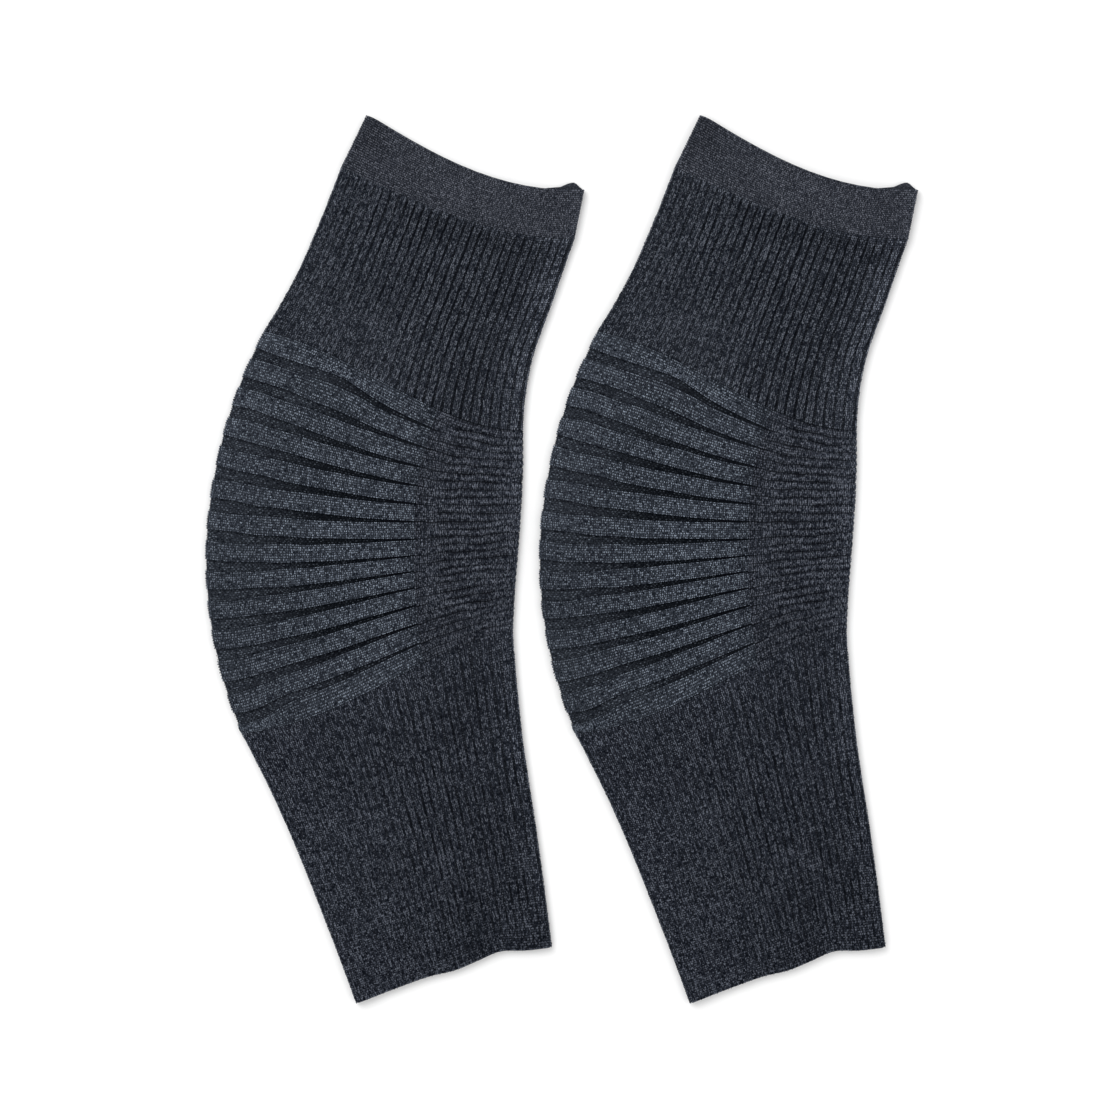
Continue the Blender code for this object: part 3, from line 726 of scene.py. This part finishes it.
def legMesh(name, legs):
    mesh = bpy.data.meshes.new(name)
    mesh.vertices.add(len(legs["centre"]))
    mesh.vertices.foreach_set("co", (legs["centre"] * mm).astype(np.float32).ravel())
    for attribute, kind, field, values in (
            ("legDirection", "FLOAT_VECTOR", "vector", legs["direction"]),
            ("legOutward", "FLOAT_VECTOR", "vector", legs["outward"]),
            ("legSize", "FLOAT_VECTOR", "vector", legs["size"] * mm),
            ("tone", "FLOAT", "value", legs["tone"]), ("stitch", "INT", "value", legs["stitch"])):
        layer = mesh.attributes.new(attribute, kind, "POINT")
        layer.data.foreach_set(field, values.astype(np.int32 if kind == "INT" else np.float32).ravel())
    return mesh


# Node trees, for the stitches and for the materials

class Wiring:
    # adds nodes to a tree and feeds their sockets
    def __init__(self, tree):
        self.tree = tree

    def feed(self, node, feeds):
        for socket, value in dict(feeds).items():
            if isinstance(value, bpy.types.NodeSocket):
                self.tree.links.new(value, node.inputs[socket])
            else:
                node.inputs[socket].default_value = value
        return node

    def add(self, kind, feeds=(), **options):
        node = self.tree.nodes.new(kind)
        for option, value in options.items():
            setattr(node, option, value)
        return self.feed(node, feeds)

    def calc(self, operation, *values, clamp=False):
        return self.add("ShaderNodeMath", dict(enumerate(values)), operation=operation,
                        use_clamp=clamp).outputs["Value"]


def newTree(name, kind, inputs, outputs):
    # inputs are names with a socket type and, where it has one, a value
    tree = bpy.data.node_groups.new(name, kind)
    for socket, socketType, *value in inputs:
        made = tree.interface.new_socket(socket, in_out="INPUT", socket_type="NodeSocket" + socketType)
        if value:
            made.default_value = value[0]
    for socket, socketType in outputs:
        tree.interface.new_socket(socket, in_out="OUTPUT", socket_type="NodeSocket" + socketType)
    return Wiring(tree)


def stitchTree():
    # lays a small spindle of yarn on each point and joins them with the cloth
    wiring = newTree("layStitches", "GeometryNodeTree", (
        ("Geometry", "Geometry"), ("Stitches", "Object"), ("Thickness", "Float", 1.0),
        ("Width", "Float", 1.0), ("Length", "Float", 1.0), ("Seed", "Int"), ("Knit", "Material")),
        (("Geometry", "Geometry"),))
    add = wiring.add
    given = add("NodeGroupInput").outputs

    def named(attribute, kind="FLOAT_VECTOR"):
        return add("GeometryNodeInputNamedAttribute", {"Name": attribute},
                   data_type=kind).outputs["Attribute"]

    sites = add("GeometryNodeObjectInfo", {"Object": given["Stitches"]})
    spindle = add("GeometryNodeMeshUVSphere", {"Segments": 4, "Rings": 2, "Radius": 1.0})
    lengthwise = add("FunctionNodeAlignRotationToVector", {"Vector": named("legDirection")}, axis="Z")
    facing = add("FunctionNodeAlignRotationToVector", {
        "Rotation": lengthwise.outputs["Rotation"], "Vector": named("legOutward")},
        axis="X", pivot_axis="Z")
    factors = add("ShaderNodeCombineXYZ", {
        "X": given["Thickness"], "Y": given["Width"], "Z": given["Length"]})
    scale = add("ShaderNodeVectorMath", {0: named("legSize"), 1: factors.outputs["Vector"]},
                operation="MULTIPLY")
    latest = add("GeometryNodeInstanceOnPoints", {
        "Points": sites.outputs["Geometry"], "Instance": spindle.outputs["Mesh"],
        "Rotation": facing.outputs["Rotation"], "Scale": scale.outputs["Vector"]}).outputs["Instances"]
    # the two legs of a stitch are of one shade, and each has flecks of its own
    for attribute, seedStep in (("yarnShade", 0), ("yarnFleck", 7)):
        dice = add("FunctionNodeRandomValue", {
            "Seed": wiring.calc("ADD", given["Seed"], seedStep), 2: 0.02, 3: 1.0}, data_type="FLOAT")
        if attribute == "yarnShade":
            wiring.feed(dice, {"ID": named("stitch", "INT")})
        latest = add("GeometryNodeStoreNamedAttribute", {
            "Name": attribute, "Geometry": latest, "Value": dice.outputs[1]},
            data_type="FLOAT", domain="INSTANCE").outputs["Geometry"]
    realize = add("GeometryNodeRealizeInstances", {"Geometry": latest})
    soft = add("GeometryNodeSetShadeSmooth", {"Geometry": realize.outputs["Geometry"]})
    join = add("GeometryNodeJoinGeometry", {"Geometry": soft.outputs["Geometry"]})
    wiring.feed(join, {"Geometry": given["Geometry"]})
    dress = add("GeometryNodeSetMaterial", {
        "Geometry": join.outputs["Geometry"], "Material": given["Knit"]})
    add("NodeGroupOutput", {"Geometry": dress.outputs["Geometry"]})
    return wiring.tree


layStitches = stitchTree()


def knitPiece(name, shell, legs, material, seed, shift):
    # the cloth and its stitches as one plain mesh, moved to its place in the pair
    piece = newObject(name, shell.mesh(name))
    sites = newObject(name + "Sites", legMesh(name + "Sites", legs))
    modifier = piece.modifiers.new("stitches", "NODES")
    modifier.node_group = layStitches
    sockets = {item.name: item.identifier for item in layStitches.interface.items_tree
               if item.in_out == "INPUT"}
    for socket, value in (("Stitches", sites), ("Thickness", yarn["thickness"]),
                          ("Width", yarn["width"]), ("Length", yarn["length"]), ("Seed", seed),
                          ("Knit", material)):
        modifier[sockets[socket]] = value
    graph = bpy.context.evaluated_depsgraph_get()
    mesh = bpy.data.meshes.new_from_object(piece.evaluated_get(graph), depsgraph=graph)
    piece.modifiers.clear()
    piece.data = mesh
    bpy.data.objects.remove(sites)
    for attribute in ("legDirection", "legOutward", "legSize", "stitch"):
        if attribute in mesh.attributes:
            mesh.attributes.remove(mesh.attributes[attribute])
    places = np.empty(len(mesh.vertices) * 3, dtype=np.float32)
    mesh.vertices.foreach_get("co", places)
    places[0::3] += shift * mm
    mesh.vertices.foreach_set("co", places)
    mesh.update()
    mesh.name = name
    print(name, "-", sum(len(face.vertices) - 2 for face in mesh.polygons), "triangles")
    return piece


# Materials

heather = {
    "shade": 0.36, "fleck": 0.56, "blotch": 0.6, "fibre": 1.3,   # how much each changes the yarn
    "middle": 0.46, "level": 0.45,                               # brings them round to the mid tone
    "fibreScale": 1900.0, "blotchScale": 1000.0,
}


def heatherGroup():
    # charcoal yarn spun from dark and pale fibres: each stitch has its own shade
    wiring = newTree("heatherYarn", "ShaderNodeTree", (
        ("Dark", "Color", (0.01, 0.012, 0.016, 1)), ("Mid", "Color", (0.04, 0.045, 0.06, 1)),
        ("Pale", "Color", (0.15, 0.17, 0.21, 1)), ("Contrast", "Float", 1.0),
        ("Shade", "Float", 0.5), ("Fleck", "Float", 0.5), ("Tone", "Float", 1.0),
        ("Place", "Vector")), (("Color", "Color"), ("Fibre", "Float")))
    add, calc = wiring.add, wiring.calc
    given = add("NodeGroupInput").outputs
    fibre, blotch = (add("ShaderNodeTexNoise", {
        "Scale": heather[scale], "Detail": 1.0, "Vector": given["Place"]}).outputs["Fac"]
        for scale in ("fibreScale", "blotchScale"))
    # the stitch's own shade, blurred into its neighbours by blotches and broken up by fibres
    own = calc("MULTIPLY_ADD", given["Shade"], heather["shade"], -heather["middle"])
    own = calc("MULTIPLY_ADD", given["Fleck"], heather["fleck"], own)
    own = calc("MULTIPLY_ADD", own, given["Contrast"], -heather["level"])
    own = calc("MULTIPLY_ADD", blotch, heather["blotch"], own)
    own = calc("MULTIPLY_ADD", fibre, heather["fibre"], own, clamp=True)
    lower = add("ShaderNodeMix", {0: calc("MULTIPLY", own, 2.0, clamp=True), 6: given["Dark"],
                                  7: given["Mid"]}, data_type="RGBA")
    upper = add("ShaderNodeMix", {0: calc("MULTIPLY_ADD", own, 2.0, -1.0, clamp=True),
                                  6: lower.outputs[2], 7: given["Pale"]}, data_type="RGBA")
    tint = add("ShaderNodeVectorMath", {0: upper.outputs[2], "Scale": given["Tone"]},
               operation="SCALE")
    add("NodeGroupOutput", {"Color": tint.outputs[0], "Fibre": fibre})
    return wiring.tree


def knitFaceGroup():
    # the V-shaped stitches of plain knitting, from wale and course numbers
    wiring = newTree("knitFace", "ShaderNodeTree", (("Wales", "Vector"),),
                     (("Height", "Float"), ("Gaps", "Float")))
    add, calc = wiring.add, wiring.calc
    split = add("ShaderNodeSeparateXYZ", {0: add("NodeGroupInput").outputs["Wales"]}).outputs
    side = calc("ABSOLUTE", calc("SUBTRACT", calc("FRACT", split["X"]), 0.5))
    run = calc("FRACT", calc("MULTIPLY_ADD", side, 1.1, split["Y"]))
    leg = calc("SINE", calc("MULTIPLY", run, math.pi))
    bar = calc("SINE", calc("MULTIPLY", side, 2 * math.pi))
    height = calc("POWER", calc("MULTIPLY", leg, bar), 0.6)
    add("NodeGroupOutput", {"Height": height, "Gaps": calc("SUBTRACT", 1.0, height, clamp=True)})
    return wiring.tree


heatherYarn = heatherGroup()
knitFace = knitFaceGroup()

fabric = {
    "shader": {"Roughness": 0.95, "Sheen Weight": 0.02, "Sheen Roughness": 0.5,
               "Sheen Tint": (0.3, 0.5, 1.0, 1.0), "Specular IOR Level": 0.02,
               "Specular Tint": (0.4, 0.6, 1.0, 1.0)},
    "bump": {"Strength": 0.8, "Distance": 0.00035}, "fibreBump": 0.5,
    "bareGapShade": 0.5,            # painted shade: how much darker the bare cloth's pattern is between stitches
}
looks = {
    "cuff": {"dark": (0.0175, 0.0205, 0.0285), "mid": (0.0685, 0.0750, 0.0940),
             "pale": (0.178, 0.191, 0.228), "contrast": 1.0},
    "thigh": {"dark": (0.0055, 0.0073, 0.0122), "mid": (0.0530, 0.0603, 0.0772),
              "pale": (0.158, 0.175, 0.212), "contrast": 1.3},
    "bands": {"dark": (0.0050, 0.0072, 0.0125), "mid": (0.0900, 0.1045, 0.1330),
              "pale": (0.250, 0.290, 0.350), "contrast": 1.55},
    "back": {"dark": (0.0050, 0.0068, 0.0118), "mid": (0.0625, 0.0703, 0.0905),
             "pale": (0.178, 0.195, 0.238), "contrast": 1.35},
    "shin": {"dark": (0.0032, 0.0047, 0.0084), "mid": (0.0495, 0.0562, 0.0738),
             "pale": (0.145, 0.161, 0.198), "contrast": 1.6},
}


def knitMaterial(name, look):
    material = bpy.data.materials.new(name)
    material.use_nodes = True
    wiring = Wiring(material.node_tree)
    add, calc = wiring.add, wiring.calc
    shade, fleck, tone = (add("ShaderNodeAttribute", attribute_name=attribute).outputs["Fac"]
                          for attribute in ("yarnShade", "yarnFleck", "tone"))
    wales = add("ShaderNodeUVMap", uv_map="knit").outputs["UV"]
    face = add("ShaderNodeGroup", {"Wales": wales}, node_tree=knitFace).outputs
    # stitches that are modelled carry a shade, and the bare cloth is patterned instead
    bare = calc("LESS_THAN", shade, 0.01)
    # the bare cloth's pattern gets painted shade between its stitches
    gaps = calc("MULTIPLY_ADD", calc("MULTIPLY", face["Gaps"], bare), -fabric["bareGapShade"], 1.0)
    spun = add("ShaderNodeGroup", {
        "Dark": (*look["dark"], 1.0), "Mid": (*look["mid"], 1.0), "Pale": (*look["pale"], 1.0),
        "Contrast": look["contrast"], "Place": add("ShaderNodeTexCoord").outputs["Object"],
        "Shade": calc("MULTIPLY_ADD", bare, 0.5, shade), "Fleck": calc("MULTIPLY_ADD", bare, 0.5, fleck),
        "Tone": calc("MULTIPLY", gaps, tone)}, node_tree=heatherYarn).outputs
    relief = calc("MULTIPLY_ADD", spun["Fibre"], fabric["fibreBump"],
                  calc("MULTIPLY", face["Height"], bare))
    bump = add("ShaderNodeBump", {**fabric["bump"], "Height": relief})
    wiring.feed(material.node_tree.nodes["Principled BSDF"], {
        **fabric["shader"], "Base Color": spun["Color"], "Normal": bump.outputs["Normal"]})
    return material


materials = {name: knitMaterial(name + "Knit", look) for name, look in looks.items()}
print("materials made")


# The cloth and stitches of each piece, made once for both warmers

def seamRuns(form, count):
    # shares of the way down, just short of both ends
    inset = cloth["seam"] / form.down
    return list(np.linspace(inset, 1 - inset, count))


def edgeRows(form, edge, atTop):
    # rows close to a free edge, from the inset of each to its share of the way down
    return [(inset / form.down if atTop else 1 - inset / form.down, sink) for inset, sink in edge]


def plainRows(start, end, count):
    return [(run, 0.0) for run in np.linspace(start, end, count)]


ribSteps = (-1.5, -1.25, -0.95, -0.5, 0, 0.5, 0.95, 1.25)    # points across a rib, in wales
ribWales = sorted({round(cloth["ribWales"] * rib + step, 2) for rib in range(29) for step in ribSteps})
ribWales = [wale for wale in ribWales if 0 <= wale <= lastWale]


def makeCuff():
    top = edgeRows(cuffForm, cuffKnit["edge"], True)
    rows = top + plainRows(top[-1][0], seamRuns(cuffForm, 2)[1], 9)[1:]
    # closer points behind the back fold carry the nub
    shell = tubeShell(cuffForm, cuffSurface, cuffTone, cuffKnit, rows, range(0, lastWale + 1, 2),
                      moreWales=(88, 89, 90, 91, 92.2))
    count = cuffKnit["courses"]
    return shell, knitLegs(cuffSurface, cuffTone, cuffKnit,
                           [(course + 0.62) / count for course in range(count)],
                           [wale + 0.5 for wale in range(-foldWales, lastWale + foldWales)],
                           0.3 / count)


def makeThigh():
    rows = [(run, 0.0) for run in seamRuns(thighForm, thighKnit["rows"])]
    return (tubeShell(thighForm, thighSurface, thighTone, thighKnit, rows, ribWales),
            ribLegs(thighSurface, thighTone, thighKnit))


def makeShin():
    base = edgeRows(shinForm, shinKnit["edge"], False)
    rows = plainRows(seamRuns(shinForm, 2)[0], base[0][0], shinKnit["rows"]) + base[1:]
    return (tubeShell(shinForm, shinSurface, shinTone, shinKnit, rows, ribWales),
            ribLegs(shinSurface, shinTone, shinKnit))


panelEdge = {"wales": 0.03, "turns": 0.004}    # how far short of its edges a panel of cloth ends
panelStep = 0.03                               # of a turn or a rib, over which a slope is measured


def makeBands():
    profile = (0.0, 0.015, 0.04, 0.08, 0.15, 0.5, 0.85, 0.92, 0.96, 0.985, 1.0, 1.06, 1.2, 1.5, 1.85)
    last = 2 * knee["bands"] - 1
    rows = [2 * band + part for band in range(knee["bands"]) for part in profile]
    rows = [row for row in rows if row <= last]
    rows[0], rows[-1] = panelEdge["turns"], last - panelEdge["turns"]
    under = [-foldWales - bandsUnder * step / 8 for step in range(1, 8)]
    seam = seamWale - panelEdge["wales"]
    columns = [seam, *range(54, 0, -2), 1, 0, *[-step for step in foldSteps], *under, -seam]
    inside = [seam, 42, 28, 14, 4, 0, -foldWales, under[1], under[3], under[5], -seam]

    def shellTone(turn, wale):
        # the painted shade between stitches is lighter in the gaps and at the front fold, where the
        # stitches lie closer to the cloth
        inGap = fade(turn % 2, 0.98, 0.1)
        return bandTone(turn, wale) * (1 + 0.45 * np.maximum(inGap, 1 - fade(wale, 0, 20))
                                       * (1 - fade(wale, 10, 25)))

    shell = panelShell(bandForm, bandSurface, shellTone, rows, columns, inside,
                       lambda turns: turns * bandKnit["coursesPerBand"])
    count = bandKnit["coursesPerBand"]
    turns = [2 * band + 0.045 + 0.91 * course / (count - 1)
             for band in range(knee["bands"]) for course in range(count)]
    legs = knitLegs(bandSurface, bandTone, bandKnit, turns,
                    [wale + 0.5 for wale in range(-foldWales, seamWale)], panelStep)
    # small bumps of the knitting's back on the floor of each gap, as many rows as fit
    places = []
    for gap in range(knee["bands"] - 1):
        for wale in range(-2, seamWale):
            count = int(bandKnit["floorRows"] * (1 - max(wale, 0) / seamWale))
            places += [(2 * gap + 1 + (row + 0.5) / count, wale + 0.5 + 0.5 * (row % 2))
                       for row in range(count)]
    floorTurns, floorWales = np.array(places).T
    # the stitches in the gaps get painted shade too
    floor = yarnLegs(bandSurface, lambda turn, wale: bandKnit["floorShade"] * bandTone(turn, wale),
                     floorTurns, floorWales, 0.0, bandKnit["floorSize"], yarn["purlRest"], panelStep,
                     yarn["purlNumbers"] + np.arange(len(places)), bandKnit["seed"] + 4, along=False)
    return shell, joinLegs(legs, floor)


def makeBack():
    profile = (0.0, 0.06, 0.14, 0.28, 0.5, 0.72, 0.86, 0.94)
    rows = [rib + part for rib in range(knee["ribs"]) for part in profile] + [knee["ribs"]]
    rows[0], rows[-1] = panelEdge["turns"], knee["ribs"] - panelEdge["turns"]
    folded = lastWale + foldWales
    under = [folded + backUnder * step / 5 for step in range(1, 5)]
    seam, end = seamWale + panelEdge["wales"], folded + backUnder - panelEdge["wales"]
    columns = [seam, *range(seamWale + 1, lastWale + 1), *[lastWale + step for step in foldSteps],
               *under, end]
    shell = panelShell(backForm, backSurface, backTone, rows, columns[::-1],
                       [seam, 66, 76, lastWale, folded, under[1], end], lambda ribs: ribs * 4)
    ribs = [rib + part for rib in range(knee["ribs"]) for part in (0.16, 0.39, 0.61, 0.84)]
    return shell, knitLegs(backSurface, backTone, backKnit, ribs,
                           [wale + 0.5 for wale in range(seamWale, folded)], panelStep)


makers = {
    "Cuff": (makeCuff, "cuff", "cuff", cuffKnit),
    "ThighRib": (makeThigh, "thigh", "thigh_rib", thighKnit),
    "KneeBands": (makeBands, "bands", "knee_bands", bandKnit),
    "KneeBack": (makeBack, "back", "knee_back", backKnit),
    "ShinRib": (makeShin, "shin", "shin_rib", shinKnit),
}
for label, (make, look, node, settings) in makers.items():
    shell, legs = make()
    for number, (side, place) in enumerate((("left", -0.5), ("right", 0.5))):
        shift = place * cloth["pairOffset"] + cloth["pairMiddle"]
        piece = knitPiece(side + label, shell, legs, materials[look], 11 + 17 * number, shift)
        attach(piece, "root")
        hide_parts(side + "_" + node)
print("knitting done")


# Floor, light and camera

studio = {
    "floorSize": 8.0, "floorDrop": 0.0003,
    "floor": {"Base Color": (0.93, 0.93, 0.93, 1.0), "Roughness": 0.9, "Specular IOR Level": 0.1},
    "keyPower": 14.0, "keySize": 1.1, "keyPlace": (-0.7, 0.7, 1.3),
    "fillPower": 5.0, "fillSize": 1.4, "fillPlace": (0.9, -0.5, 1.2),
    "sky": {"Color": (1.0, 1.0, 1.0, 1.0), "Strength": 0.75},
    "cameraHeight": 1.5, "clothHeight": 0.004,   # the frame is measured at the cloth's height
    "frameWidth": 0.5544, "frameCentre": (-0.00074, -0.00025),
    "sensorWidth": 36.0, "nearest": 0.05, "farthest": 10.0,
}


def makeStudio():
    floorMesh = bpy.data.meshes.new("floor")
    half = studio["floorSize"] / 2
    floorMesh.from_pydata([(x * half, y * half, -studio["floorDrop"])
                           for x, y in ((-1, -1), (1, -1), (1, 1), (-1, 1))], [], [(0, 1, 2, 3)])
    floor = newObject("floor", floorMesh)
    material = bpy.data.materials.new("paleFloor")
    material.use_nodes = True
    tree = material.node_tree
    Wiring(tree).feed(tree.nodes["Principled BSDF"], studio["floor"])
    floorMesh.materials.append(material)

    for name in ("key", "fill"):
        light = bpy.data.lights.new(name, "AREA")
        light.energy, light.size = studio[name + "Power"], studio[name + "Size"]
        lamp = newObject(name, light)
        lamp.location = studio[name + "Place"]
        lamp.rotation_euler = (-lamp.location).to_track_quat("-Z", "Y").to_euler()

    world = bpy.data.worlds.new("softSky")
    world.use_nodes = True
    Wiring(world.node_tree).feed(world.node_tree.nodes["Background"], studio["sky"])
    bpy.context.scene.world = world

    lens = bpy.data.cameras.new("camera")
    lens.type = "PERSP"
    lens.sensor_width = studio["sensorWidth"]
    lens.lens = studio["sensorWidth"] * studio["cameraHeight"] / studio["frameWidth"]
    lens.clip_start, lens.clip_end = studio["nearest"], studio["farthest"]
    camera = newObject("camera", lens)
    camera.location = (*studio["frameCentre"], studio["cameraHeight"] + studio["clothHeight"])
    bpy.context.scene.camera = camera
    bpy.context.scene.view_settings.view_transform = "Standard"


makeStudio()
print("studio ready")
